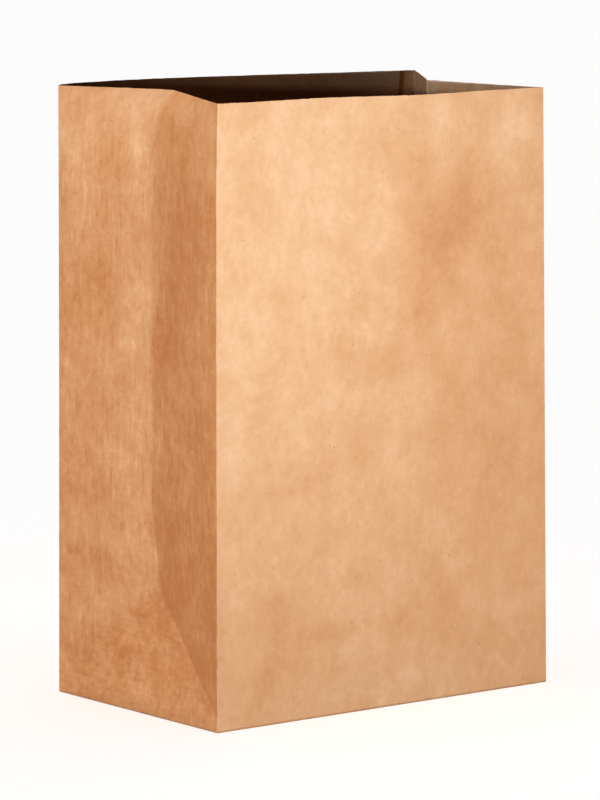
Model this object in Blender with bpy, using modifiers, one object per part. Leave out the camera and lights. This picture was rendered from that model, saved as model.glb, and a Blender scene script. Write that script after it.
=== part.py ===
"""Self-opening grocery bag in unbleached kraft paper, standing open.

One sheet of paper, folded and glued: front panel, back panel with a glued
lap near its right edge, two gusseted sides with a centre crease that pushes
in, and a flat bottom closed by two overlapping flaps.
Units are metres, +Z is up, the front panel faces -Y, and the origin is at
the middle of the base, on the surface that the bag stands on.
"""
import bpy
import bmesh
import math
from mathutils import Vector

# ---------------------------------------------------------------- dimensions
WIDTH = 0.3048          # across the front panel (12 in)
DEPTH = 0.1778          # across a gusset, laid flat (7 in)
HEIGHT = 0.4318         # base to mouth (17 in)
PAPER = 0.0002          # one ply of heavy kraft paper

HALF_W = WIDTH / 2
HALF_D = DEPTH / 2

APEX_Z = 0.0915         # top of the bottom triangle on each gusset crease
FOOT_Z = 0.009          # where the diagonal creases meet the corner folds
FLAP_REACH = HALF_D + 0.0127    # bottom flaps run past the middle line
LAP_WIDTH = 0.0125      # glued lap on the back panel, from the right corner

# The mouth has been opened by hand, so its corners no longer lie on the
# rectangle of the base. (x shift, y shift, height) of each corner there.
MOUTH = {
    "front_left": (-0.0055, 0.0006, 0.4313),
    "front_right": (-0.0068, 0.0082, 0.4285),
    "back_right": (-0.0070, -0.0312, 0.4310),
    "back_left": (-0.0052, -0.0018, 0.4310),
}
CREASE_TOP_LEFT = 0.4344        # height of the left gusset crease
CREASE_TOP_RIGHT = 0.4312
LEFT_PUSH = 0.013       # how far the left crease is pushed in
LEFT_FLARE = 0.0073     # more at the mouth, in the last few centimetres
LEFT_FLARE_START = 0.365
LEFT_CREASE_SHIFT = -0.0147     # the left crease swings forward at the mouth
LEFT_SHIFT_START = 0.398
LEFT_APEX_SHIFT = -0.0074       # and again where it meets the triangle
RIGHT_PUSH = 0.915      # share of the push that the paper's length allows
RIGHT_CREASE_SHIFT = -0.0026    # the right crease leans forward at the mouth
BACK_BOW = 0.0190       # the back panel bows out most near its left third
FRONT_BOW = 0.0080

FRONT_COLUMNS = 12
GUSSET_COLUMNS = (-0.5, 0.0, 0.5)       # fractions of half the depth
ROWS = (FOOT_Z, 0.040, 0.070, APEX_Z, 0.140, 0.185, 0.235, 0.285, 0.330,
        LEFT_FLARE_START, LEFT_SHIFT_START, 0.408, 0.417, 0.425)

KRAFT = (0.62, 0.36, 0.18, 1.0)


# ------------------------------------------------------------- shape of folds
def corner(name, z):
    """Plan position of a corner fold at height z."""
    s = z / HEIGHT
    dx, dy, _ = MOUTH[name]
    if name == "front_left":
        k = min(1.0, z / 0.370)
        sx = sy = k
    elif name == "back_right":
        sx, sy = s, s ** 1.3
    else:
        sx = sy = s
    x = -HALF_W if name.endswith("left") else HALF_W
    y = -HALF_D if name.startswith("front") else HALF_D
    return x + dx * sx, y + dy * sy


def crease_push(side, z):
    """How far the centre crease of a gusset stands inside its corner folds."""
    if side == "left":
        t = max(0.0, (z - LEFT_FLARE_START) / (HEIGHT - LEFT_FLARE_START))
        return LEFT_PUSH + LEFT_FLARE * t ** 2
    fy = corner("front_right", z)[1]
    by = corner("back_right", z)[1]
    half = (by - fy) / 2
    return RIGHT_PUSH * math.sqrt(max(HALF_D ** 2 - half ** 2, 0.0001))


def smooth(t):
    t = min(1.0, max(0.0, t))
    return t * t * (3 - 2 * t)


def slack_share(v, z):
    """Share of the crease's push at v; the back half bows a little."""
    w = abs(v)
    if v < 0:
        return 1 - w
    curl = smooth((z - APEX_Z) / 0.05) * (1 - smooth((z - 0.370) / 0.06))
    return (1 - w) ** (1 + 0.25 * curl)


def gusset(side, v, z):
    """Point on a gusset: v runs -1 at the front fold to 1 at the back one."""
    fx, fy = corner("front_" + side, z)
    bx, by = corner("back_" + side, z)
    t = (v + 1) / 2
    push = crease_push(side, max(z, APEX_Z)) * slack_share(v, z)
    if z < APEX_Z:
        rise = max(0.0, (z - FOOT_Z) / (APEX_Z - FOOT_Z))
        push = min(push, crease_push(side, APEX_Z) * rise)
    if side == "right":
        lean = RIGHT_CREASE_SHIFT * (z / HEIGHT)
    else:
        top = max(0.0, (z - LEFT_SHIFT_START) / (HEIGHT - LEFT_SHIFT_START))
        foot = min(1.0, z / FOOT_Z) * (1 - smooth((z - APEX_Z) / 0.065))
        lean = LEFT_CREASE_SHIFT * top ** 4 + LEFT_APEX_SHIFT * foot
    lean *= 1 - abs(v)
    inward = 1 if side == "left" else -1
    return fx + (bx - fx) * t + inward * push, fy + (by - fy) * t + lean


def bump(u, centre, spread):
    return math.exp(-((u - centre) / spread) ** 2)


def front_panel(u, z):
    """Point on the front panel: u runs 0 at the left fold to 1 at the right."""
    ax, ay = corner("front_left", z)
    bx, by = corner("front_right", z)
    s = z / HEIGHT
    edge = math.sin(math.pi * u)
    out = FRONT_BOW * bump(u, 0.60, 0.14) - 0.0035 * bump(u, 0.31, 0.13)
    out = out * s ** 2.2 * min(1.0, 2.2 * edge)
    out += 0.0018 * edge * math.sin(math.pi * s)
    return ax + (bx - ax) * u, ay + (by - ay) * u - out


def back_panel(u, z):
    ax, ay = corner("back_left", z)
    bx, by = corner("back_right", z)
    s = z / HEIGHT
    out = BACK_BOW * math.sin(math.pi * u ** 0.58) * s ** 1.3
    return ax + (bx - ax) * u, ay + (by - ay) * u + out


def mouth_height(x, y):
    """Height of the cut edge above a point of the base rectangle's outline."""
    fl, fr = MOUTH["front_left"][2], MOUTH["front_right"][2]
    br, bl = MOUTH["back_right"][2], MOUTH["back_left"][2]
    u = x / WIDTH + 0.5
    v = abs(y) / HALF_D
    if abs(abs(x) - HALF_W) < 1e-6:
        mid = CREASE_TOP_LEFT if x < 0 else CREASE_TOP_RIGHT
        if x < 0:
            end = fl if y < 0 else bl
        else:
            end = fr if y < 0 else br
        return mid + (end - mid) * v
    if y < 0:
        return fl + (fr - fl) * u
    return bl + (br - bl) * u


def folded(co):
    """Move a point of the plain open box to where the folded bag has it."""
    x, y, z = co
    z = min(max(z, 0.0), HEIGHT)
    on_side = abs(abs(x) - HALF_W) < 1e-6
    on_face = abs(abs(y) - HALF_D) < 1e-6
    if z < 1e-7:
        return Vector((x, y, 2 * PAPER))
    s = z / HEIGHT
    height = z + (mouth_height(x, y) - HEIGHT) * s * s
    height += 2 * PAPER * (1 - s)
    if on_side:
        px, py = gusset("left" if x < 0 else "right", y / HALF_D, z)
    elif on_face and y < 0:
        px, py = front_panel(x / WIDTH + 0.5, z)
    elif on_face:
        px, py = back_panel(x / WIDTH + 0.5, z)
    else:
        px, py = x, y
    return Vector((px, py, height))


# --------------------------------------------------------------- mesh helpers
def cut(bm, point, normal, keep=None):
    """Score the mesh along a plane, on the faces that keep() picks."""
    faces = [f for f in bm.faces if keep is None or keep(f)]
    geom = set(faces)
    for f in faces:
        geom.update(f.edges)
        geom.update(f.verts)
    bmesh.ops.bisect_plane(bm, geom=list(geom), dist=1e-7,
                           plane_co=point, plane_no=normal)


def new_object(name, bm, collection, material=None):
    mesh = bpy.data.meshes.new(name)
    bm.to_mesh(mesh)
    bm.free()
    ob = bpy.data.objects.new(name, mesh)
    collection.objects.link(ob)
    if material is not None:
        mesh.materials.append(material)
    return ob


def solidify(ob, thickness):
    m = ob.modifiers.new("paper", 'SOLIDIFY')
    m.thickness = thickness
    m.offset = -1.0
    m.use_even_offset = True
    m.use_quality_normals = True


# ------------------------------------------------------------------ the shell
def make_shell(collection, material):
    bm = bmesh.new()
    bmesh.ops.create_cube(bm, size=1.0)
    bmesh.ops.scale(bm, vec=(WIDTH, DEPTH, HEIGHT), verts=bm.verts)
    bmesh.ops.translate(bm, vec=(0, 0, HEIGHT / 2), verts=bm.verts)
    top = [f for f in bm.faces if f.normal.z > 0.5]
    bmesh.ops.delete(bm, geom=top, context='FACES_ONLY')

    walls = lambda f: abs(f.normal.z) < 0.5
    for z in ROWS:
        cut(bm, (0, 0, z), (0, 0, 1), walls)
    broad = lambda f: abs(f.normal.y) > 0.5
    for i in range(1, FRONT_COLUMNS):
        cut(bm, (-HALF_W + WIDTH * i / FRONT_COLUMNS, 0, 0), (1, 0, 0), broad)
    cut(bm, (HALF_W - LAP_WIDTH, 0, 0), (1, 0, 0),
        lambda f: f.normal.y > 0.5)
    sides = lambda f: abs(f.normal.x) > 0.5
    for k in GUSSET_COLUMNS:
        cut(bm, (0, k * HALF_D, 0), (0, 1, 0), sides)
    # the two diagonal creases of each gusset
    for sign in (-1, 1):
        run = Vector((0, -sign * HALF_D, APEX_Z - FOOT_Z))
        normal = Vector((0, run.z, -run.y)).normalized()
        cut(bm, (0, sign * HALF_D, FOOT_Z), normal,
            lambda f: abs(f.normal.x) > 0.5
            and f.calc_center_median().y * sign > 0
            and FOOT_Z < f.calc_center_median().z < APEX_Z)
    for v in bm.verts:
        v.co = folded(v.co)
    bmesh.ops.triangulate(bm, faces=bm.faces)
    bmesh.ops.recalc_face_normals(bm, faces=bm.faces)
    base = min(bm.faces, key=lambda f: f.calc_center_median().z)
    if base.normal.z > 0:
        bmesh.ops.reverse_faces(bm, faces=bm.faces)
    ob = new_object("paper_bag", bm, collection, material)
    solidify(ob, PAPER)
    return ob


# ----------------------------------------------- flaps that close the bottom
def make_bottom_flap(name, sign, z_low, z_high, collection):
    """A flap folded in under the base, mitred at 45 degrees at both ends."""
    bm = bmesh.new()
    bmesh.ops.create_cube(bm, size=1.0)
    reach = FLAP_REACH - PAPER
    bmesh.ops.scale(bm, vec=(1, reach, z_high - z_low), verts=bm.verts)
    bmesh.ops.translate(
        bm, vec=(0, sign * (HALF_D - PAPER - reach / 2), (z_low + z_high) / 2),
        verts=bm.verts)
    for v in bm.verts:
        free_edge = v.co.y * sign < 0
        half = HALF_W - (FLAP_REACH if free_edge else PAPER)
        v.co.x = math.copysign(half, v.co.x)
    return new_object(name, bm, collection)


# ------------------------------------------------------ glued lap on the back
def make_lap(collection):
    """Second ply inside the back panel, between its free edge and the fold."""
    bm = bmesh.new()
    bmesh.ops.create_grid(bm, x_segments=1, y_segments=1, size=0.5)
    x_low, x_high = HALF_W - LAP_WIDTH, HALF_W - 0.0008
    z_low, z_high = 0.0012, HEIGHT - 0.0004
    for v in bm.verts:
        x = x_low if v.co.x < 0 else x_high
        z = z_low if v.co.y < 0 else z_high
        v.co = Vector((x, HALF_D, z))
    for z in ROWS:
        cut(bm, (0, 0, z), (0, 0, 1))
    for v in bm.verts:
        v.co = folded(v.co)
        v.co.y -= 0.5 * PAPER
    bmesh.ops.triangulate(bm, faces=bm.faces)
    bmesh.ops.recalc_face_normals(bm, faces=bm.faces)
    if sum(f.normal.y for f in bm.faces) < 0:
        bmesh.ops.reverse_faces(bm, faces=bm.faces)
    ob = new_object("lap_ply", bm, collection)
    solidify(ob, 1.5 * PAPER)
    return ob


def kraft_paper():
    mat = bpy.data.materials.new("kraft_paper")
    mat.use_nodes = True
    shader = mat.node_tree.nodes["Principled BSDF"]
    shader.inputs["Base Color"].default_value = KRAFT
    shader.inputs["Roughness"].default_value = 0.86
    shader.inputs["Metallic"].default_value = 0.0
    return mat


def join(target, cutter):
    m = target.modifiers.new("join_" + cutter.name, 'BOOLEAN')
    m.operation = 'UNION'
    m.solver = 'EXACT'
    m.object = cutter
    cutter.hide_render = True
    cutter.display_type = 'WIRE'


def main():
    for ob in list(bpy.data.objects):
        bpy.data.objects.remove(ob, do_unlink=True)
    scene = bpy.context.scene
    bag_collection = bpy.data.collections.new("paper_bag")
    cutters = bpy.data.collections.new("joined_plies")
    scene.collection.children.link(bag_collection)
    scene.collection.children.link(cutters)

    bag = make_shell(bag_collection, kraft_paper())
    back = make_bottom_flap("back_flap", 1, PAPER, 2.2 * PAPER, cutters)
    front = make_bottom_flap("front_flap", -1, 0.0, 2.2 * PAPER, cutters)
    lap = make_lap(cutters)
    for cutter in (back, front, lap):
        join(bag, cutter)


main()
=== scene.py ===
"""Looks of the kraft paper bag: its folded sheet, its paper, a pale floor,
soft studio light and a camera. Metres, +Z up, front panel facing -Y.
"""
import bpy
import bmesh
import math
import numpy as np
from mathutils import Matrix, Vector


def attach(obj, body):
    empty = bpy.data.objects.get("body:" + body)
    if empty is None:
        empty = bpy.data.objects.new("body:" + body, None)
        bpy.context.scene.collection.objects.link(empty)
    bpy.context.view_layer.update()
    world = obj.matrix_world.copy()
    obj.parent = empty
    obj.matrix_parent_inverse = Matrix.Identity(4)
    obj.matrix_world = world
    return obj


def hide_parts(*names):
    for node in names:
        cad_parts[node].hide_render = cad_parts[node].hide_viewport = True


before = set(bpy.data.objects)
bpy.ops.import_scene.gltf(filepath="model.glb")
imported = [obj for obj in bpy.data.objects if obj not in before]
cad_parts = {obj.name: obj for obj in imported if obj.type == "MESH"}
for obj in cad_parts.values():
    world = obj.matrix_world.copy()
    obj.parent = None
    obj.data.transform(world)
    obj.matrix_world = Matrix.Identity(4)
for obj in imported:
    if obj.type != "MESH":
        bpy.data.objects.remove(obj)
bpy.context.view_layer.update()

# ---------------------------------------------------------------- dimensions
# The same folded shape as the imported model, so that the fine sheet lies on it.
WIDTH, DEPTH, HEIGHT = 0.3048, 0.1778, 0.4318
HALF_W, HALF_D = WIDTH / 2, DEPTH / 2
PAPER = 0.0002
APEX_Z, FOOT_Z = 0.0915, 0.009
FLAP_REACH = HALF_D + 0.0127
LAP_WIDTH = 0.0125
MOUTH = {
    "front_left": (-0.0055, 0.0006, 0.4313),
    "front_right": (-0.0068, 0.0082, 0.4285),
    "back_right": (-0.0070, -0.0312, 0.4310),
    "back_left": (-0.0052, -0.0018, 0.4310),
}
CREASE_TOP_LEFT, CREASE_TOP_RIGHT = 0.4344, 0.4312
LEFT_PUSH, LEFT_FLARE = 0.013, 0.0073
LEFT_FLARE_START, LEFT_SHIFT_START = 0.365, 0.398
LEFT_CREASE_SHIFT, LEFT_APEX_SHIFT = -0.0147, -0.0074
RIGHT_PUSH, RIGHT_CREASE_SHIFT = 0.915, -0.0026
BACK_BOW, FRONT_BOW = 0.0190, 0.0080


# ------------------------------------------------------------- smooth noise
def lattice_noise(x, y, seed):
    """Smooth value noise in -1..1 on a seeded lattice of unit cells."""
    rng = np.random.RandomState(seed)
    table = rng.uniform(-1, 1, (64, 64))
    xi, yi = np.floor(x).astype(int), np.floor(y).astype(int)
    fx, fy = x - xi, y - yi
    fx = fx * fx * fx * (fx * (fx * 6 - 15) + 10)
    fy = fy * fy * fy * (fy * (fy * 6 - 15) + 10)
    a = table[xi % 64, yi % 64]
    b = table[(xi + 1) % 64, yi % 64]
    c = table[xi % 64, (yi + 1) % 64]
    d = table[(xi + 1) % 64, (yi + 1) % 64]
    return (a * (1 - fx) + b * fx) * (1 - fy) + (c * (1 - fx) + d * fx) * fy


def cloudy(x, y, seed, octaves=3):
    total, amp, norm = 0.0, 1.0, 0.0
    for k in range(octaves):
        total = total + amp * lattice_noise(x * 2 ** k + 7.3 * k,
                                            y * 2 ** k + 3.1 * k, seed + k)
        norm += amp
        amp *= 0.5
    return total / norm


def bump(u, centre, spread):
    return np.exp(-((u - centre) / spread) ** 2)


def tent(d, half):
    return np.clip(1 - np.abs(d) / half, 0, 1)


def smooth(t):
    t = np.clip(t, 0, 1)
    return t * t * (3 - 2 * t)


# ------------------------------------------------------------- folded sheet
def corner(name, z):
    s = z / HEIGHT
    dx, dy, _ = MOUTH[name]
    if name == "front_left":
        sx = sy = np.minimum(1.0, z / 0.370)
    elif name == "back_right":
        sx, sy = s, s ** 1.3
    else:
        sx = sy = s
    x = -HALF_W if name.endswith("left") else HALF_W
    y = -HALF_D if name.startswith("front") else HALF_D
    return x + dx * sx, y + dy * sy


def crease_push(side, z):
    if side == "left":
        t = np.maximum(0.0, (z - LEFT_FLARE_START) / (HEIGHT - LEFT_FLARE_START))
        return LEFT_PUSH + LEFT_FLARE * t ** 2
    fy, by = corner("front_right", z)[1], corner("back_right", z)[1]
    half = (by - fy) / 2
    return RIGHT_PUSH * np.sqrt(np.maximum(HALF_D ** 2 - half ** 2, 0.0001))


def gusset(side, v, z):
    fx, fy = corner("front_" + side, z)
    bx, by = corner("back_" + side, z)
    t = (v + 1) / 2
    # the halves bow a little: the back one is steepest at the crease, and the
    # front one rolls off it and is steepest in its middle
    curl = smooth((z - APEX_Z) / 0.05) * (1 - smooth((z - 0.370) / 0.06))
    pinch = 1 + 0.25 * curl
    w = np.abs(v)
    roll = 1 - (0.52 * w + 0.48 * smooth(w))
    slack = np.where(v > 0, (1 - w) ** pinch, (1 - w) + (roll - (1 - w)) * curl)
    if side == "left":
        # the crease opens into a soft round near the mouth
        r = 0.006 + 0.13 * smooth((z - 0.372) / 0.040) * (1 - 0.75 * smooth((z - 0.419) / 0.0128))
        soft = np.sqrt(1 + r * r) - np.sqrt(v * v + r * r)
        soft = np.clip(soft / (np.sqrt(1 + r * r) - r), 0, 1)
        slack = np.where(z > APEX_Z, slack + soft * (1 - 0.25 * r) - (1 - w), slack)
    push = crease_push(side, np.maximum(z, APEX_Z)) * slack
    rise = np.clip((z - FOOT_Z) / (APEX_Z - FOOT_Z), 0, 1)
    low = np.minimum(push, crease_push(side, np.float64(APEX_Z)) * rise)
    push = np.where(z < APEX_Z, low, push)
    if side == "right":
        lean = RIGHT_CREASE_SHIFT * (z / HEIGHT) * slack
    else:
        top = np.clip((z - LEFT_SHIFT_START) / (HEIGHT - LEFT_SHIFT_START), 0, 1)
        foot = 1 - smooth((z - APEX_Z) / 0.065)
        lean = (LEFT_CREASE_SHIFT * top ** 4 + LEFT_APEX_SHIFT * foot) * (1 - np.abs(v))
        lean = np.where(z < FOOT_Z, lean * np.clip(z / FOOT_Z, 0, 1), lean)
    inward = 1 if side == "left" else -1
    return fx + (bx - fx) * t + inward * push, fy + (by - fy) * t + lean


def front_panel(u, z):
    ax, ay = corner("front_left", z)
    bx, by = corner("front_right", z)
    s = z / HEIGHT
    edge = np.sin(math.pi * u)
    out = FRONT_BOW * bump(u, 0.60, 0.14) - 0.0035 * bump(u, 0.31, 0.13)
    out = out * s ** 2.2 * np.minimum(1.0, 2.2 * edge)
    out = out + 0.0018 * edge * np.sin(math.pi * s)
    return ax + (bx - ax) * u, ay + (by - ay) * u - out


def back_panel(u, z):
    ax, ay = corner("back_left", z)
    bx, by = corner("back_right", z)
    s = z / HEIGHT
    out = BACK_BOW * np.sin(math.pi * u ** 0.58) * s ** 1.3
    return ax + (bx - ax) * u, ay + (by - ay) * u + out


def mouth_height(panel, t):
    """Height of the cut edge; t runs 0..1 along a face, -1..1 on a gusset."""
    fl, fr = MOUTH["front_left"][2], MOUTH["front_right"][2]
    br, bl = MOUTH["back_right"][2], MOUTH["back_left"][2]
    if panel == "front":
        return fl + (fr - fl) * t
    if panel == "back":
        return bl + (br - bl) * t
    mid = CREASE_TOP_LEFT if panel == "left" else CREASE_TOP_RIGHT
    f, b = (fl, bl) if panel == "left" else (fr, br)
    end = np.where(t < 0, f, b)
    return mid + (end - mid) * np.abs(t)


def place(panel, t, z):
    """Folded position of a point of the sheet, before the fine waves."""
    if panel == "front":
        x, y = front_panel(t, z)
    elif panel == "back":
        x, y = back_panel(t, z)
    else:
        x, y = gusset(panel, t, z)
    s = z / HEIGHT
    h = z + (mouth_height(panel, t) - HEIGHT) * s * s
    return np.stack(np.broadcast_arrays(x, y, h), -1)


# Distance along the sheet, round the tube: left gusset, front, right, back.
SHEET_START = {"left": -DEPTH, "front": 0.0, "right": WIDTH,
               "back": WIDTH + DEPTH}


def sheet_u(panel, t):
    if panel == "front":
        return SHEET_START[panel] + t * WIDTH
    if panel == "back":
        return SHEET_START[panel] + (1 - t) * WIDTH
    if panel == "left":
        return SHEET_START[panel] + (1 - t) / 2 * DEPTH
    return SHEET_START[panel] + (t + 1) / 2 * DEPTH


# --------------------------------------------------------- fine waves, folds
HALF_FOLD_Z = 0.0965    # fold made when the bag is stored flat

# Small wrinkles of the left gusset, in its own plane (y, z), with the half
# width and the depth of each. They run down and back from the crease's foot.
WRINKLES = (
    ((-0.0090, 0.0850), (0.0330, 0.0640), 0.0040, 0.00071),
    ((-0.0170, 0.0765), (0.0270, 0.0560), 0.0038, 0.00061),
    ((-0.0040, 0.0940), (0.0360, 0.0800), 0.0048, 0.00044),
    ((-0.0100, 0.0620), (0.0360, 0.0440), 0.0055, 0.00044),
    ((-0.0400, 0.0400), (0.0280, 0.0270), 0.0060, 0.00044),
    ((-0.0050, 0.0170), (0.0500, 0.0230), 0.0055, 0.00037),
    ((0.0600, 0.0300), (0.0420, 0.0440), 0.0022, -0.00051),
    ((-0.0060, 0.1010), (-0.0240, 0.1450), 0.0050, 0.00041),
    ((0.0020, 0.1050), (0.0200, 0.1600), 0.0060, 0.00041),
)


def wrinkle(y, z, line):
    (y0, z0), (y1, z1), half, deep = line
    dy, dz = y1 - y0, z1 - z0
    length = math.hypot(dy, dz)
    along = ((y - y0) * dy + (z - z0) * dz) / length
    off = ((y - y0) * -dz + (z - z0) * dy) / length
    off = off - 0.05 * np.sin(math.pi * along / length) * length * 0.6
    fade = smooth(along / (0.25 * length)) * smooth((length - along) / (0.45 * length))
    return -deep * fade * np.exp(-(off / half) ** 2)


def lift(panel, t, z):
    """How far the paper stands out of its flat panel, in metres."""
    u = sheet_u(panel, t)
    if panel in ("front", "back"):
        edge = np.sin(math.pi * np.clip(t, 0, 1))
    else:
        centre = np.abs(t) + (1 - np.abs(t)) * smooth((APEX_Z - z) / 0.030)
        edge = np.clip(np.minimum(1 - np.abs(t), centre) * 3.2, 0, 1)
    hold = np.clip(edge * 2.2, 0, 1) * np.clip(z / 0.030, 0, 1)
    slow = cloudy(u / 0.085, z / 0.150, 11, 2) * 0.0010
    mid = cloudy(u / 0.030, z / 0.050, 23, 2) * 0.00028
    out = (slow + mid) * hold
    if panel == "back":
        # the sharp fold across the back, and the slack just above it
        out = out - 0.0007 * tent(z - HALF_FOLD_Z, 0.010) * np.clip(edge * 8, 0, 1)
        out = out + 0.0006 * bump(z, HALF_FOLD_Z + 0.030, 0.020) * edge
    if panel in ("left", "right"):
        behind = np.clip(t * 8, 0, 1)
        wander = 0.0012 * lattice_noise(t * 6 + 3, t * 0 + 0.5, 5)
        out = out - 0.00040 * tent(z - HALF_FOLD_Z - wander, 0.005) * behind * hold
        side = 1.0 if panel == "left" else -1.0
        near = np.clip((1 - np.abs(t)) * 8, 0, 1)
        for line in WRINKLES:
            out = out + wrinkle(side * t * HALF_D, z, line) * near
    return out


def normal_of(panel, t, z):
    """Outward unit normal of the folded sheet, by differences."""
    e = 1e-4
    lo, hi = (0.0, 1.0) if panel in ("front", "back") else (-1.0, 1.0)
    ta, tb = np.clip(t - e, lo, hi), np.clip(t + e, lo, hi)
    if panel in ("left", "right"):
        # keep to one side of the centre crease
        ta = np.where((t > 0) & (ta < 0), 0.0, ta)
        tb = np.where((t < 0) & (tb > 0), 0.0, tb)
    za, zb = np.clip(z - e, 0, HEIGHT), np.clip(z + e, 0, HEIGHT)
    du = place(panel, tb, z) - place(panel, ta, z)
    dv = place(panel, t, zb) - place(panel, t, za)
    n = np.cross(du, dv)
    n /= np.maximum(np.linalg.norm(n, axis=-1, keepdims=True), 1e-12)
    want = {"front": (0, -1, 0), "back": (0, 1, 0),
            "left": (-1, 0, 0), "right": (1, 0, 0)}[panel]
    sign = np.sign((n * np.array(want)).sum(-1, keepdims=True))
    return n * np.where(sign == 0, 1, sign)


def sheet_point(panel, t, z, out_by=0.0):
    t, z = np.broadcast_arrays(np.float64(t), np.float64(z))
    p = place(panel, t, z)
    n = normal_of(panel, t, z)
    gone = lift(panel, t, z) + out_by
    p = p + n * gone[..., None]
    s = z / HEIGHT
    p[..., 2] += 2 * PAPER * (1 - s)
    # the knife leaves the mouth a hair uneven
    u = sheet_u(panel, t)
    p[..., 2] += 0.00018 * lattice_noise(u / 0.0016, u * 0 + 0.5, 77) * s ** 40
    return p


# -------------------------------------------------------------- rows, columns
TRI = 30
rows = [0.0, 0.0012, 0.0040] + list(np.linspace(FOOT_Z, APEX_Z, TRI + 1))
rows += list(np.linspace(APEX_Z, LEFT_SHIFT_START, 62)[1:])
rows += list(np.linspace(LEFT_SHIFT_START, HEIGHT, 19)[1:])
rows = np.array(rows)

near = np.array([0.0005, 0.0014, 0.0030])
face_cols = [0.0] + list(near / WIDTH) + list(np.linspace(0.0065, WIDTH - 0.0065, 62) / WIDTH)
face_cols += list(1 - near[::-1] / WIDTH) + [1.0]
face_cols = np.array(sorted(set(np.round(face_cols, 9))))

side_half = list(np.linspace(-1, 0, TRI + 1)) + [-1 + 0.0006 / HALF_D]
side_half = sorted(side_half + [-0.0007 / HALF_D])
side_cols = np.array(side_half + [-v for v in side_half[-2::-1]])

DIAG = math.hypot(HALF_D, APEX_Z - FOOT_Z)


def marks(panel, t, z):
    """How much a point lies on a fold, and its mask of wear and of painted side shade."""
    if panel in ("front", "back"):
        d = np.minimum(t, 1 - t) * WIDTH
        # painted shade: the back is painted a little darker than the front by this mask
        wear_and_side_shade = np.full(np.shape(z), 0.0 if panel == "front" else 0.35)
        if panel == "back":
            d = np.minimum(d, np.abs(z - HALF_FOLD_Z))
    else:
        y = np.abs(t) * HALF_D
        d = np.minimum(HALF_D - y, np.where(z > APEX_Z, y, 1.0))
        slant = np.abs((HALF_D - y) * (APEX_Z - FOOT_Z) - (z - FOOT_Z) * HALF_D) / DIAG
        d = np.minimum(d, np.where(z < APEX_Z, slant, 1.0))
        below = (HALF_D - y) * (APEX_Z - FOOT_Z) / HALF_D + FOOT_Z - z
        # painted shade, and wear: the gussets are painted darker and more mottled, most of all their bottom triangles
        wear_and_side_shade = 0.55 + 0.45 * smooth(0.5 + below / 0.012)
    return np.exp(-(d / 0.0012) ** 2), np.clip(wear_and_side_shade, 0, 1)


# Soft darker (-) and paler (+) patches: place along the panel, height, half
# width, half height, strength. Some are painted light: the broad pale patch on
# the front's upper left, and the pale patches round the left gusset's mouth.
TONE_AND_LIGHT_PATCHES = {
    "front": ((0.222, 0.352, 0.024, 0.028, -0.15), (0.188, 0.312, 0.034, 0.036, -0.16),
              (0.262, 0.300, 0.024, 0.034, -0.07), (0.188, 0.286, 0.018, 0.016, -0.10),
              (0.106, 0.297, 0.012, 0.011, -0.10), (0.160, 0.248, 0.026, 0.016, -0.08),
              (0.219, 0.214, 0.014, 0.034, -0.07), (0.247, 0.170, 0.024, 0.075, -0.09),
              (0.032, 0.155, 0.032, 0.022, -0.10), (0.104, 0.062, 0.024, 0.011, -0.12),
              (0.168, 0.058, 0.024, 0.010, -0.11), (0.030, 0.062, 0.050, 0.035, -0.11),
              (0.276, 0.402, 0.024, 0.022, 0.13), (0.205, 0.414, 0.036, 0.014, 0.12),
              (0.095, 0.412, 0.080, 0.016, 0.07), (0.185, 0.016, 0.060, 0.012, 0.08),
              # painted light: the next patch, broad over the front's upper left
              (0.050, 0.340, 0.090, 0.130, 0.12), (0.104, 0.370, 0.013, 0.070, 0.08),
              (0.110, 0.208, 0.015, 0.028, 0.08), (0.125, 0.138, 0.022, 0.028, 0.07)),
    "left": ((0.014, 0.079, 0.020, 0.004, -0.13), (0.012, 0.069, 0.022, 0.004, -0.13),
             (0.030, 0.050, 0.026, 0.004, -0.11), (0.022, 0.036, 0.024, 0.004, -0.09),
             (0.052, 0.058, 0.010, 0.003, 0.10), (0.062, 0.024, 0.022, 0.010, -0.10),
             (0.011, 0.068, 0.018, 0.013, -0.11), (0.026, 0.042, 0.022, 0.018, -0.20),
             (0.068, 0.112, 0.030, 0.024, -0.10), (0.030, 0.182, 0.014, 0.014, -0.08),
             (0.045, 0.286, 0.014, 0.032, -0.14), (0.074, 0.282, 0.012, 0.020, -0.06),
             (-0.056, 0.345, 0.024, 0.036, -0.22), (-0.031, 0.290, 0.019, 0.052, -0.24),
             (-0.030, 0.165, 0.018, 0.035, -0.07),
             (-0.072, 0.190, 0.022, 0.070, -0.12), (-0.024, 0.100, 0.024, 0.034, -0.22),
             (-0.060, 0.048, 0.022, 0.022, -0.15), (-0.085, 0.120, 0.010, 0.100, -0.09),
             # painted light: the next five patches, round the left gusset's mouth
             (0.074, 0.392, 0.028, 0.034, 0.20), (0.045, 0.388, 0.018, 0.028, 0.11), (0.012, 0.424, 0.034, 0.015, 0.24),
             (-0.045, 0.426, 0.034, 0.016, 0.18), (0.012, 0.384, 0.011, 0.034, 0.20),
             (0.015, 0.240, 0.013, 0.055, 0.20), (0.022, 0.112, 0.018, 0.050, 0.15)),
}


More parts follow.
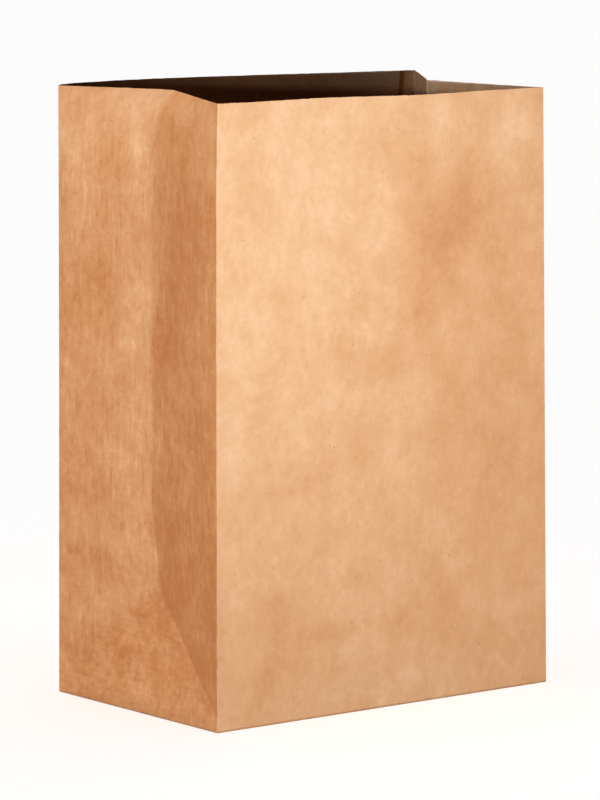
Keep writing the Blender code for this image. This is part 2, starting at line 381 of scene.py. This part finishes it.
def patches(panel, t, z):
    at = t * WIDTH if panel in ("front", "back") else t * HALF_D
    tone = np.zeros(np.shape(z))
    wob = 0.006 * cloudy(at / 0.012 + 5, z / 0.020, 91, 2)
    for x0, z0, half_x, half_z, strength in TONE_AND_LIGHT_PATCHES.get(panel, ()):
        q = ((at - x0 + wob) / half_x) ** 2 + ((z - z0 + 2 * wob) / half_z) ** 2
        tone = tone + strength * np.exp(-q)
    if panel in ("left", "right"):
        # painted light and shade on the gusset: its front half is painted darker, most of all just above its diagonal
        # fold, and the triangle below that fold and the back half paler
        front = smooth(-t / 0.06)
        off = (z - FOOT_Z - (1 - np.abs(t)) * (APEX_Z - FOOT_Z)) / 0.0022
        above = smooth(0.5 + off / 2) * smooth((0.150 - z) / 0.060)
        below = smooth(0.5 - off / 2)
        tone = tone + front * (0.075 * below - 0.065 * above - 0.045) + 0.03 * (1 - front)
        # its front corner fold is darker near the mouth
        d = (1 + t) * HALF_D
        tone = tone - 0.20 * np.exp(-(d / 0.0018) ** 2) * smooth((z - 0.260) / 0.090)
    return tone


def inner_painted_light_and_shade(panel, t, z):
    """Painted light and painted shade of the sheet's inner side: a paler tone near the mouth, and how much the folds
    shade it.
    """
    tone = shade = np.zeros(np.shape(z))
    if panel == "right":
        back = smooth(t / 0.10) * smooth((1.02 - t) / 0.06)
        # painted shade on the right gusset's inner back half, and painted light on the rest of its inner side near the
        # mouth
        shade = 0.46 * back * smooth((z - 0.330) / 0.060)
        tone = 0.18 * (1 - back) * smooth((z - 0.380) / 0.040)
    elif panel == "back":
        # painted light on the back panel's inner side, near the mouth at its right end
        tone = 0.28 * smooth((t - 0.70) / 0.20) * smooth((z - 0.408) / 0.020)
    return tone, shade


def build_shell():
    loop = [("left", v) for v in side_cols[::-1]]
    loop += [("front", t) for t in face_cols[1:]]
    loop += [("right", v) for v in side_cols[1:]]
    loop += [("back", t) for t in face_cols[::-1][1:-1]]
    columns, fold, wear_and_side_shade, tone, inner, shade = [], [], [], [], [], []
    for panel, t in loop:
        columns.append(sheet_point(panel, np.full(len(rows), t), rows))
        f, w = marks(panel, np.full(len(rows), t), rows)
        fold.append(f)
        wear_and_side_shade.append(w)
        tone.append(patches(panel, np.full(len(rows), t), rows))
        a, b = inner_painted_light_and_shade(panel, np.full(len(rows), t), rows)
        inner.append(a)
        shade.append(b)
    # folds belong to two panels: take the plain folded place there
    names = {("left", 1.0): "back_left", ("left", -1.0): "front_left",
             ("front", 1.0): "front_right", ("right", 1.0): "back_right"}
    for i, (panel, t) in enumerate(loop):
        if (panel, float(t)) in names:
            x, y = corner(names[(panel, float(t))], rows)
            s = rows / HEIGHT
            h = rows + (mouth_height(panel, np.float64(t)) - HEIGHT) * s * s
            columns[i] = np.stack([x, y, h + 2 * PAPER * (1 - s)], -1)
    n_loop, n_row = len(loop), len(rows)
    verts = list(map(tuple, np.array(columns).reshape(-1, 3)))
    fold, wear_and_side_shade = list(np.array(fold).ravel()), list(np.array(wear_and_side_shade).ravel())
    tone, inner = list(np.array(tone).ravel()), list(np.array(inner).ravel())
    shade = list(np.array(shade).ravel())
    faces, uvs, crisp = [], [], set()
    us = [sheet_u(p, t) for p, t in loop]
    total = 2 * (WIDTH + DEPTH)

    def vid(i, r):
        return (i % n_loop) * n_row + r

    for i in range(n_loop):
        j = (i + 1) % n_loop
        ua = us[i]
        ub = us[j] if us[j] > us[i] - 1e-9 else us[j] + total
        for r in range(n_row - 1):
            a, b, c, d = vid(i, r), vid(j, r), vid(j, r + 1), vid(i, r + 1)
            za, zb = rows[r], rows[r + 1]
            q = [(ua, za), (ub, za), (ub, zb), (ua, zb)]
            on_gusset = (loop[i][0] in ("left", "right") or loop[j][0] == "right") \
                and j and FOOT_Z - 1e-9 <= za < APEX_Z - 1e-9 \
                and loop[j][0] in ("left", "right")
            if on_gusset:
                v0 = loop[i][1] if loop[i][0] == loop[j][0] else -1.0
                v1 = loop[j][1]
                # left gusset runs back to front in the loop, right front to back
                rising = (v0 + v1 < 0) if loop[j][0] == "right" else (v0 + v1 > 0)
                if rising:
                    faces += [(a, b, c), (a, c, d)]
                    uvs += [(q[0], q[1], q[2]), (q[0], q[2], q[3])]
                    pair, ends = (a, c), ((v0, za), (v1, zb))
                else:
                    faces += [(a, b, d), (b, c, d)]
                    uvs += [(q[0], q[1], q[3]), (q[1], q[2], q[3])]
                    pair, ends = (b, d), ((v1, za), (v0, zb))
                on_line = all(abs((1 - abs(v)) - (z - FOOT_Z) / (APEX_Z - FOOT_Z)) < 0.02
                              for v, z in ends)
                if on_line and v0 + v1 < 0 and zb < 0.078:
                    crisp.add(tuple(sorted(pair)))
            else:
                faces.append((a, b, c, d))
                uvs.append(tuple(q))
    # the floor, on the same columns
    index = {}
    for i, (panel, t) in enumerate(loop):
        t = round(float(t), 7)
        side = {"left": ("y", 0), "right": ("y", 1), "front": ("x", 0), "back": ("x", 1)}
        axis, far = side[panel]
        index[(axis, t, far)] = vid(i, 0)
    index[("x", 0.0, 0)], index[("x", 0.0, 1)] = index[("y", -1.0, 0)], index[("y", 1.0, 0)]
    index[("y", -1.0, 1)], index[("x", 1.0, 1)] = index[("x", 1.0, 0)], index[("y", 1.0, 1)]
    grid = {}
    for ix, t in enumerate(face_cols):
        for iy, v in enumerate(side_cols):
            tt, vv = round(float(t), 7), round(float(v), 7)
            if iy == 0:
                k = index[("x", tt, 0)]
            elif iy == len(side_cols) - 1:
                k = index[("x", tt, 1)]
            elif ix == 0:
                k = index[("y", vv, 0)]
            elif ix == len(face_cols) - 1:
                k = index[("y", vv, 1)]
            else:
                k = len(verts)
                verts.append(((t - 0.5) * WIDTH, v * HALF_D, 2 * PAPER))
                fold.append(0.0)
                wear_and_side_shade.append(0.5)
                tone.append(0.0)
                inner.append(0.0)
                shade.append(0.0)
            grid[ix, iy] = k
    for ix in range(len(face_cols) - 1):
        for iy in range(len(side_cols) - 1):
            faces.append((grid[ix, iy], grid[ix, iy + 1],
                          grid[ix + 1, iy + 1], grid[ix + 1, iy]))
            x0, x1 = face_cols[ix] * WIDTH, face_cols[ix + 1] * WIDTH
            y0, y1 = side_cols[iy] * HALF_D, side_cols[iy + 1] * HALF_D
            base = -HALF_D
            uvs.append(((x0, base - y0), (x0, base - y1), (x1, base - y1), (x1, base - y0)))
    return verts, faces, uvs, fold, wear_and_side_shade, tone, crisp, inner, shade


def plate(us, vs, point, uv, mark, tone=lambda a, b: 0.0):
    """A sheet on a grid; its functions take the two parameters."""
    verts, fold, wear_and_side_shade, faces, uvs = [], [], [], [], []
    for a in us:
        for b in vs:
            verts.append(tuple(float(c) for c in point(a, b)))
            f, w = mark(a, b)
            fold.append(float(f))
            wear_and_side_shade.append(float(w))
    n = len(vs)
    for i in range(len(us) - 1):
        for j in range(n - 1):
            faces.append((i * n + j, (i + 1) * n + j, (i + 1) * n + j + 1, i * n + j + 1))
            uvs.append((uv(us[i], vs[j]), uv(us[i + 1], vs[j]),
                        uv(us[i + 1], vs[j + 1]), uv(us[i], vs[j + 1])))
    tones = [float(tone(a, b)) for a in us for b in vs]
    none = [0.0] * len(verts)
    return verts, faces, uvs, fold, wear_and_side_shade, tones, set(), none, none


# ------------------------------------------------------------ plies and flaps
def lap_ply():
    """The glued lap inside the back panel; its free edge has come up a little."""
    ds = [k * LAP_WIDTH for k in (0.05, 0.18, 0.32, 0.46, 0.58, 0.69, 0.78, 0.86,
                                 0.92, 0.97, 1.0)]
    zs = [0.0012] + list(rows[4::2]) + [HEIGHT - 0.0003]
    zs = sorted(set(round(float(z), 6) for z in zs))

    def point(d, z):
        t = np.float64(1 - d / WIDTH)
        free = smooth((d / LAP_WIDTH - 0.66) / 0.34)
        loose = 0.00024 + 0.0006 * smooth((0.420 - z) / 0.030) * smooth((z - 0.250) / 0.080) \
            + 0.00008 * float(lattice_noise(np.float64(z / 0.021), np.float64(0.5), 61))
        away = PAPER * 1.15 + loose * free ** 1.5
        return sheet_point("back", t, np.float64(z), -away)

    def uv(d, z):
        return (2 * (WIDTH + DEPTH) + WIDTH + d, z)

    def mark(d, z):
        return 0.0, 0.4

    def tone(d, z):
        # painted shade: the free edge is painted dark, as if shaded where it lifts, and painted light: the flat ply
        # behind it is paler near the mouth
        lip_shade = float(smooth((d - LAP_WIDTH + 0.0044) / 0.0012))
        top = float(smooth((z - 0.395) / 0.025))
        return 0.02 + 0.30 * top * (1 - lip_shade) - 0.75 * lip_shade

    return plate(ds, zs, point, uv, mark, tone)


def bottom_flap(sign, z_face):
    """Flap under the base, mitred at both ends; sign -1 is the front one."""
    qs = [0.0, 0.0001, 0.0003, 0.0009, 0.0020] + list(np.linspace(0.006, FLAP_REACH - 0.006, 19))
    qs += [FLAP_REACH - 0.0030, FLAP_REACH - 0.0014, FLAP_REACH - 0.0005, FLAP_REACH]
    ks = [-1.0, -0.996, -0.985] + list(np.linspace(-0.96, 0.96, 33)) + [0.985, 0.996, 1.0]

    def point(q, k):
        half = HALF_W - 0.0003 - q
        z = 2 * PAPER if q == 0 else (z_face + PAPER * 0.5 if q < 0.0002 else z_face)
        y = sign * (HALF_D - max(0.0, q - 0.0001))
        return (-sign * k * half, y, z)

    def uv(q, k):
        x = -sign * k * (HALF_W - q)
        if sign < 0:
            return (x + HALF_W, -q)
        return (SHEET_START["back"] + HALF_W - x, -q)

    def mark(q, k):
        half = HALF_W - q
        d = min(q, FLAP_REACH - q, (1 - abs(k)) * half * 0.7071)
        return math.exp(-(d / 0.0010) ** 2) * 0.9, 0.75

    return plate(qs, ks, point, uv, mark)


def end_flap(sign):
    """Flap of a gusset that lies on the floor inside, under the bag's load."""
    reach = 0.1016
    qs = [0.0008, 0.0030, 0.010] + list(np.linspace(0.018, reach - 0.012, 8))
    qs += [reach - 0.006, reach - 0.003, reach - 0.0012, reach]
    vs = [-1.0, -0.99, -0.97] + list(np.linspace(-0.93, 0.93, 21)) + [0.97, 0.99, 1.0]

    def point(q, v):
        up = 0.0011 * smooth((q - reach + 0.016) / 0.016) * (1 - 0.5 * v * v)
        return (sign * (HALF_W - q), sign * v * (HALF_D - 0.0009), 3.2 * PAPER + up)

    def uv(q, v):
        return (sign * 0.4 + v * HALF_D, -q)

    def mark(q, v):
        d = min(reach - q, q - 0.0008)
        return math.exp(-(d / 0.0010) ** 2) * 0.7, 0.4

    return plate(qs, vs, point, uv, mark)


def mesh_object(name, parts, inside=0.0, face_to=None):
    """A closed thin solid out of a sheet: its faces out, one ply thick."""
    verts, faces, uvs, fold, wear_and_side_shade, tone, crisp, inner_painted_light, shade = parts
    me = bpy.data.meshes.new(name)
    me.from_pydata([tuple(map(float, v)) for v in verts], [], [tuple(f) for f in faces])
    layer = me.uv_layers.new(name="sheet")
    layer.uv.foreach_set("vector", [float(c) for f in uvs for p in f for c in p])
    for key, values in (("fold", fold), ("wear_and_side_shade", wear_and_side_shade), ("patch", tone),
                        ("shade", shade), ("inside", [inside] * len(verts))):
        me.attributes.new(key, 'FLOAT', 'POINT').data.foreach_set(
            "value", [float(x) for x in values])
    me.update()
    if face_to is not None:
        total = Vector((0, 0, 0))
        for p in me.polygons:
            total += p.normal * p.area
        if total.dot(Vector(face_to)) < 0:
            me.flip_normals()
    ob = bpy.data.objects.new(name, me)
    bpy.context.scene.collection.objects.link(ob)
    n = len(verts)
    m = ob.modifiers.new("ply", 'SOLIDIFY')
    m.thickness = PAPER * 0.9 if face_to is not None else PAPER
    m.offset = -1.0
    m.use_even_offset = True
    m.use_quality_normals = True
    deps = bpy.context.evaluated_depsgraph_get()
    new = bpy.data.meshes.new_from_object(ob.evaluated_get(deps),
                                          preserve_all_data_layers=True,
                                          depsgraph=deps)
    ob.modifiers.clear()
    ob.data = new
    bpy.data.meshes.remove(me)
    # the inner side of the sheet, and the cut edges
    if face_to is None:
        inner = [0.0] * n + [1.0] * (len(new.vertices) - n)
        new.attributes["inside"].data.foreach_set("value", inner)
        # the inner side adds its painted light near the mouth to the outer tone
        both = [float(x) for x in tone] + [float(a + b) for a, b in zip(tone, inner_painted_light)]
        new.attributes["patch"].data.foreach_set("value", both)
        dim = [0.0] * n + [float(x) for x in shade]
        new.attributes["shade"].data.foreach_set("value", dim)
    crisp = set(crisp) | {(a + n, b + n) for a, b in crisp}
    for p in new.polygons:
        p.use_smooth = True
        if len({v < n for v in p.vertices}) == 2:
            p.use_smooth = False
            crisp.update(tuple(sorted(k)) for k in p.edge_keys)
    for e in new.edges:
        if tuple(sorted(e.vertices)) in crisp:
            e.use_edge_sharp = True
    return ob


bag = mesh_object("kraft_bag", build_shell())
plies = [
    mesh_object("lap_ply", lap_ply(), 1.0, (0, 1, 0)),
    mesh_object("front_flap", bottom_flap(-1, 0.0), 0.0, (0, 0, -1)),
    mesh_object("back_flap", bottom_flap(1, PAPER), 0.0, (0, 0, -1)),
    mesh_object("left_end_flap", end_flap(-1), 1.0, (0, 0, -1)),
    mesh_object("right_end_flap", end_flap(1), 1.0, (0, 0, -1)),
]
with bpy.context.temp_override(active_object=bag, object=bag,
                               selected_objects=[bag] + plies,
                               selected_editable_objects=[bag] + plies):
    bpy.ops.object.join()


# ------------------------------------------------------------------ material
def kraft_material():
    """Unbleached kraft: soft clouds of pulp, faint machine streaks, specks of
    bark and pale fibres. Tone is worked in steps of lightness around 0."""
    mat = bpy.data.materials.new("kraft_paper")
    mat.use_nodes = True
    nt = mat.node_tree
    shader = nt.nodes["Principled BSDF"]
    new, link = nt.nodes.new, nt.links.new

    sheet = new("ShaderNodeUVMap")
    sheet.uv_map = "sheet"

    def mask(name):
        n = new("ShaderNodeAttribute")
        n.attribute_name = name
        return n.outputs["Fac"]

    def math_node(op, a, b, clamp=False):
        n = new("ShaderNodeMath")
        n.operation = op
        n.use_clamp = clamp
        for i, x in enumerate((a, b)):
            if isinstance(x, (int, float)):
                n.inputs[i].default_value = x
            else:
                link(x, n.inputs[i])
        return n.outputs[0]

    inside, fold, wear_and_side_shade = mask("inside"), mask("fold"), mask("wear_and_side_shade")
    split = new("ShaderNodeSeparateXYZ")
    link(sheet.outputs["UV"], split.inputs[0])
    where = new("ShaderNodeCombineXYZ")
    link(split.outputs[0], where.inputs[0])
    link(split.outputs[1], where.inputs[1])
    link(math_node('MULTIPLY', inside, 0.37), where.inputs[2])

    def noise(scale, detail=2.0, rough=0.5, distort=0.0, offset=(0, 0, 0)):
        m = new("ShaderNodeMapping")
        m.inputs["Scale"].default_value = scale
        m.inputs["Location"].default_value = offset
        n = new("ShaderNodeTexNoise")
        n.inputs["Scale"].default_value = 1.0
        n.inputs["Detail"].default_value = detail
        n.inputs["Roughness"].default_value = rough
        n.inputs["Distortion"].default_value = distort
        link(where.outputs[0], m.inputs["Vector"])
        link(m.outputs["Vector"], n.inputs["Vector"])
        return n.outputs["Fac"]

    def spread(fac, low, high, to_low=0.0, to_high=1.0):
        n = new("ShaderNodeMapRange")
        n.inputs["From Min"].default_value = low
        n.inputs["From Max"].default_value = high
        n.inputs["To Min"].default_value = to_low
        n.inputs["To Max"].default_value = to_high
        link(fac, n.inputs["Value"])
        return n.outputs["Result"]

    def around(fac, gain):
        """Noise about 0, times gain."""
        return math_node('MULTIPLY', math_node('SUBTRACT', fac, 0.5), gain)

    def add(*terms):
        total = terms[0]
        for x in terms[1:]:
            total = math_node('ADD', total, x)
        return total

    drift = noise((9, 6, 5), 2, 0.5, 0.2, (2.1, 0.4, 0))
    pulp = noise((21, 19, 20), 6, 0.80, 0.10, (3.0, 1.0, 2.0))
    patch = noise((38, 26, 30), 3, 0.62, 0.3, (7.7, 2.0, 5.0))
    streak = noise((240, 60, 90), 2, 0.6, 0.15, (5.0, 2.0, 1.0))
    mottle = noise((175, 155, 150), 2, 0.65, 0.4, (8.0, 6.0, 2.5))
    grain = noise((1500, 1300, 900), 2, 0.7, 0.0, (2.0, 4.0, 9.0))
    fuzz = noise((580, 520, 500), 3, 0.72, 0.6, (4.0, 8.0, 1.0))

    # the mottling grows with the mask, most of all in the small marks: painted shade of the sides' relief, and wear
    def wear_and_shade_gain(value, rate):
        gain = math_node('ADD', math_node('MULTIPLY', wear_and_side_shade, rate), 1.0)
        return math_node('MULTIPLY', value, gain)

    tone = add(wear_and_shade_gain(add(around(drift, 0.26), around(pulp, 0.83), around(patch, 0.30)), 0.45),
               wear_and_shade_gain(add(around(mottle, 0.215), around(streak, 0.075), around(fuzz, 0.070),
                           around(grain, 0.015)), 1.6))
    # painted highlight and shade of short crinkles, which run up the gussets, and across their bottom triangles
    upright = math_node('MULTIPLY', spread(wear_and_side_shade, 0.2, 0.5, 0.0, 1.0),
                        spread(wear_and_side_shade, 0.62, 0.90, 1.0, 0.0))
    across = spread(wear_and_side_shade, 0.62, 0.90, 0.0, 1.0)
    tall = noise((290, 46, 90), 2, 0.6, 0.25, (3.3, 1.7, 5.1))
    wide = noise((70, 300, 90), 2, 0.6, 0.25, (2.2, 6.1, 3.9))
    upright = math_node('MULTIPLY', upright, spread(split.outputs[1], 0.380, 0.410, 1.0, 0.35))
    for source, where_on, power in ((tall, upright, 1.0), (wide, across, 0.8)):
        pale = spread(source, 0.56, 0.72, 0.0, 0.17 * power)
        dark = spread(source, 0.28, 0.44, -0.19 * power, 0.0)
        tone = add(tone, math_node('MULTIPLY', add(pale, dark), where_on))
    # folds are rubbed a little pale, unevenly along their length
    rub = math_node('MULTIPLY', fold, spread(noise((60, 60, 60), 3, 0.6), 0.35, 0.65, -0.02, 0.10))
    # the patch attribute adds painted light and shade with the tone, and the mask of wear and side shade paints the
    # gussets and back darker, as painted shade
    tone = add(tone, rub, mask("patch"), math_node('MULTIPLY', inside, 0.12),
               math_node('MULTIPLY', wear_and_side_shade, -0.13))

    ramp = new("ShaderNodeValToRGB")
    r = ramp.color_ramp
    stops = ((0.0, -0.40), (0.25, -0.20), (0.5, 0.0), (0.75, 0.20), (1.0, 0.40))
    base = (0.750, 0.426, 0.195)
    lean = (0.50, 1.0, 1.50)
    while len(r.elements) < len(stops):
        r.elements.new(0.5)
    for e, (pos, step) in zip(r.elements, stops):
        e.position = pos
        e.color = tuple(min(0.95, b * math.exp(k * step)) for b, k in zip(base, lean)) + (1,)
    link(spread(tone, -0.40, 0.40), ramp.inputs["Fac"])

    # sparse dark specks of bark, and a few short pale fibres
    m = new("ShaderNodeMapping")
    m.inputs["Scale"].default_value = (210, 170, 150)
    link(where.outputs[0], m.inputs["Vector"])
    voro = new("ShaderNodeTexVoronoi")
    voro.inputs["Scale"].default_value = 1.0
    voro.inputs["Randomness"].default_value = 1.0
    link(m.outputs["Vector"], voro.inputs["Vector"])
    speck = spread(voro.outputs["Distance"], 0.05, 0.17, 1.0, 0.0)
    rare = spread(noise((70, 70, 60), 1, 0.5, 0, (9, 9, 9)), 0.60, 0.68)
    speck = math_node('MULTIPLY', math_node('MULTIPLY', speck, rare, True), 0.50)
    ridge = math_node('ABSOLUTE', around(noise((300, 190, 200), 2, 0.5, 1.2, (6, 3, 2)), 1.0), 0.0)
    hair = spread(ridge, 0.0, 0.012, 1.0, 0.0)
    some = spread(noise((110, 90, 80), 1, 0.5, 0, (1, 5, 4)), 0.58, 0.70)
    hair = math_node('MULTIPLY', math_node('MULTIPLY', hair, some, True), 0.22)

    def blend(factor, base_colour, colour):
        mix = new("ShaderNodeMix")
        mix.data_type = 'RGBA'
        link(factor, mix.inputs["Factor"])
        link(base_colour, mix.inputs[6])
        mix.inputs[7].default_value = colour
        return mix.outputs[2]

    # the unglazed inner side is greyer
    grey = new("ShaderNodeMix")
    grey.data_type = 'RGBA'
    grey.blend_type = 'MULTIPLY'
    link(inside, grey.inputs["Factor"])
    link(ramp.outputs["Color"], grey.inputs[6])
    grey.inputs[7].default_value = (0.78, 0.84, 1.0, 1)
    # painted light: round the mouth's near end, the inner side is painted paler and greyer, as if lit by light coming
    # in
    pale = new("ShaderNodeMix")
    pale.data_type = 'RGBA'
    pale.blend_type = 'MULTIPLY'
    near_end = add(spread(split.outputs[0], 0.48, 0.62, 1.0, 0.0),
                   spread(split.outputs[0], 1.20, 1.21, 0.0, 1.0))
    high = spread(split.outputs[1], 0.385, 0.425, 0.0, 1.0)
    link(math_node('MULTIPLY', inside, math_node('MULTIPLY', high, near_end)),
         pale.inputs["Factor"])
    link(grey.outputs[2], pale.inputs[6])
    pale.inputs[7].default_value = (1.04, 1.11, 1.27, 1)
    colour = blend(speck, pale.outputs[2], (0.20, 0.085, 0.035, 1))
    colour = blend(mask("shade"), colour, (0.03, 0.015, 0.007, 1))
    colour = blend(hair, colour, (0.93, 0.72, 0.50, 1))
    link(colour, shader.inputs["Base Color"])

    link(spread(pulp, 0.3, 0.7, 0.90, 0.78), shader.inputs["Roughness"])
    shader.inputs["Specular IOR Level"].default_value = 0.22

    relief = new("ShaderNodeBump")
    relief.inputs["Strength"].default_value = 0.5
    relief.inputs["Distance"].default_value = 0.0003
    height = add(around(fuzz, 1.0), around(grain, 0.5), around(streak, 0.5),
                 around(pulp, 3.0))
    link(height, relief.inputs["Height"])
    link(relief.outputs["Normal"], shader.inputs["Normal"])
    return mat


kraft = kraft_material()
bag.data.materials.clear()
bag.data.materials.append(kraft)
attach(bag, "root")
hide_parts("paper_bag")


# --------------------------------------------------------------------- floor
def make_floor():
    bm = bmesh.new()
    bmesh.ops.create_grid(bm, x_segments=8, y_segments=8, size=14.0)
    me = bpy.data.meshes.new("studio_floor")
    bm.to_mesh(me)
    bm.free()
    ob = bpy.data.objects.new("studio_floor", me)
    bpy.context.scene.collection.objects.link(ob)
    mat = bpy.data.materials.new("pale_floor")
    mat.use_nodes = True
    sh = mat.node_tree.nodes["Principled BSDF"]
    sh.inputs["Base Color"].default_value = (0.93, 0.93, 0.93, 1)
    sh.inputs["Roughness"].default_value = 0.9
    sh.inputs["Specular IOR Level"].default_value = 0.0
    me.materials.append(mat)
    ob.visible_diffuse = False
    ob.visible_glossy = False
    return ob


floor = make_floor()


def make_backdrop():
    """A pale dome round the floor. Only the camera sees it: it lights nothing."""
    bm = bmesh.new()
    bmesh.ops.create_uvsphere(bm, u_segments=48, v_segments=24, radius=13.0)
    bmesh.ops.delete(bm, geom=[v for v in bm.verts if v.co.z < -0.5], context='VERTS')
    bmesh.ops.reverse_faces(bm, faces=bm.faces)
    me = bpy.data.meshes.new("studio_backdrop")
    bm.to_mesh(me)
    bm.free()
    ob = bpy.data.objects.new("studio_backdrop", me)
    bpy.context.scene.collection.objects.link(ob)
    mat = bpy.data.materials.new("pale_backdrop")
    mat.use_nodes = True
    sh = mat.node_tree.nodes["Principled BSDF"]
    sh.inputs["Base Color"].default_value = (0.0, 0.0, 0.0, 1)
    sh.inputs["Specular IOR Level"].default_value = 0.0
    sh.inputs["Emission Color"].default_value = (1.0, 1.0, 1.0, 1)
    sh.inputs["Emission Strength"].default_value = 0.97
    me.materials.append(mat)
    ob.visible_diffuse = ob.visible_glossy = ob.visible_transmission = False
    ob.visible_shadow = ob.visible_volume_scatter = False
    return ob


backdrop = make_backdrop()


# -------------------------------------------------------------------- camera
def make_camera():
    f_px, dist = 5242.0, 3.714
    shift_x, shift_y = -0.00612, -0.00880
    yaw, pitch, roll = map(math.radians, (40.01, 8.24, 0.77))
    fwd = Vector((math.sin(yaw) * math.cos(pitch),
                  math.cos(yaw) * math.cos(pitch), -math.sin(pitch)))
    right = Vector((math.cos(yaw), -math.sin(yaw), 0))
    up = right.cross(fwd)
    r = right * math.cos(roll) + up * math.sin(roll)
    u = up * math.cos(roll) - right * math.sin(roll)
    target = Vector((0, 0, HEIGHT / 2)) + r * shift_x + u * shift_y
    data = bpy.data.cameras.new("camera")
    data.sensor_fit = 'AUTO'
    data.sensor_width = 36.0
    data.lens = f_px * 36.0 / 800.0
    data.clip_start, data.clip_end = 0.05, 60
    cam = bpy.data.objects.new("camera", data)
    bpy.context.scene.collection.objects.link(cam)
    m = Matrix((r, u, -fwd)).transposed().to_4x4()
    m.translation = target - fwd * dist
    cam.matrix_world = m
    bpy.context.scene.camera = cam
    return cam


camera = make_camera()


# -------------------------------------------------------------------- lights
def link_lamp(ob, receivers, blockers=None):
    """Light only these objects; only the blockers, where given, cast shadows."""
    linking = ob.light_linking
    linking.receiver_collection = bpy.data.collections.new(ob.name + "_lit")
    linking.receiver_collection.objects.link(receivers)
    if blockers is not None:
        linking.blocker_collection = bpy.data.collections.new(ob.name + "_shade")
        linking.blocker_collection.objects.link(blockers)


def area_light(name, azimuth, elevation, distance, aim, size, power, colour=(1, 1, 1)):
    """A softbox. Azimuth 0 is in front of the bag, and 90 on its left."""
    data = bpy.data.lights.new(name, 'AREA')
    data.shape = 'RECTANGLE'
    data.size, data.size_y = size
    data.energy = power
    data.color = colour
    ob = bpy.data.objects.new(name, data)
    bpy.context.scene.collection.objects.link(ob)
    a, e = math.radians(azimuth), math.radians(elevation)
    back = Vector((-math.sin(a) * math.cos(e), -math.cos(a) * math.cos(e), math.sin(e)))
    ob.location = Vector(aim) + back * distance
    ob.rotation_mode = 'QUATERNION'
    ob.rotation_quaternion = back.to_track_quat('Z', 'Y')
    ob.visible_camera = False
    link_lamp(ob, bag)
    return ob


# The front lamps stay below the mouth, so that the inside of the bag is dark;
# the side lamp just clears it and reaches the far gusset's inner face.
area_light("key_far", 12, 0, 2.2, (0, 0, 0.24), (1.1, 0.34), 8.1, (1.0, 0.473, 0.213))
area_light("key_low", -12, 0, 1.3, (0.10, 0, 0.10), (0.5, 0.20), 1.42, (1.0, 0.42, 0.08))
area_light("key_front", 0, 0, 0.95, (0, 0, 0.405), (0.9, 0.05), 3.1, (1.0, 0.90, 0.85))
area_light("key_near", 25, 0, 0.95, (0, 0, 0.405), (0.8, 0.05), 8.5, (0.57, 0.745, 1.0))
area_light("side", 97, 3, 2.2, (0, 0, 0.42), (0.6, 0.06), 24.5, (1.0, 0.81, 0.66))
area_light("side_warm", 100, 0, 2.2, (0, 0, 0.24), (1.0, 0.34), 4.2, (1.0, 0.20, 0.08))
area_light("fill_back", 182, 0, 2.6, (0, 0, 0.22), (1.3, 0.34), 42, (1.0, 0.85, 0.74))
area_light("fill_right", 268, 0, 2.6, (0, 0, 0.22), (1.3, 0.34), 36, (1.0, 0.85, 0.74))


def overhead_light(name, energy, angle, receivers, blockers=None, colour=(1, 1, 1)):
    """Light from straight above. Upright panels hardly take any of it."""
    data = bpy.data.lights.new(name, 'SUN')
    data.energy = energy
    data.angle = math.radians(angle)
    data.color = colour
    ob = bpy.data.objects.new(name, data)
    bpy.context.scene.collection.objects.link(ob)
    ob.location = (0, 0, 5)
    link_lamp(ob, receivers, blockers)
    return ob


# The floor has its own wash of light, so that it stays plain and pale, and a
# weak lamp reaches the bottom inside the bag.
overhead_light("floor_wash", 2.55, 70, floor, blockers=floor)
overhead_light("floor_contact", 0.72, 70, floor)
overhead_light("down_into_bag", 1.3, 8, bag, colour=(1.0, 0.62, 0.42))

world = bpy.data.worlds.new("studio")
bpy.context.scene.world = world
world.use_nodes = True
world.node_tree.nodes["Background"].inputs[0].default_value = (1, 0.55, 0.35, 1)
world.node_tree.nodes["Background"].inputs[1].default_value = 0.012
bpy.context.scene.view_settings.view_transform = 'Standard'

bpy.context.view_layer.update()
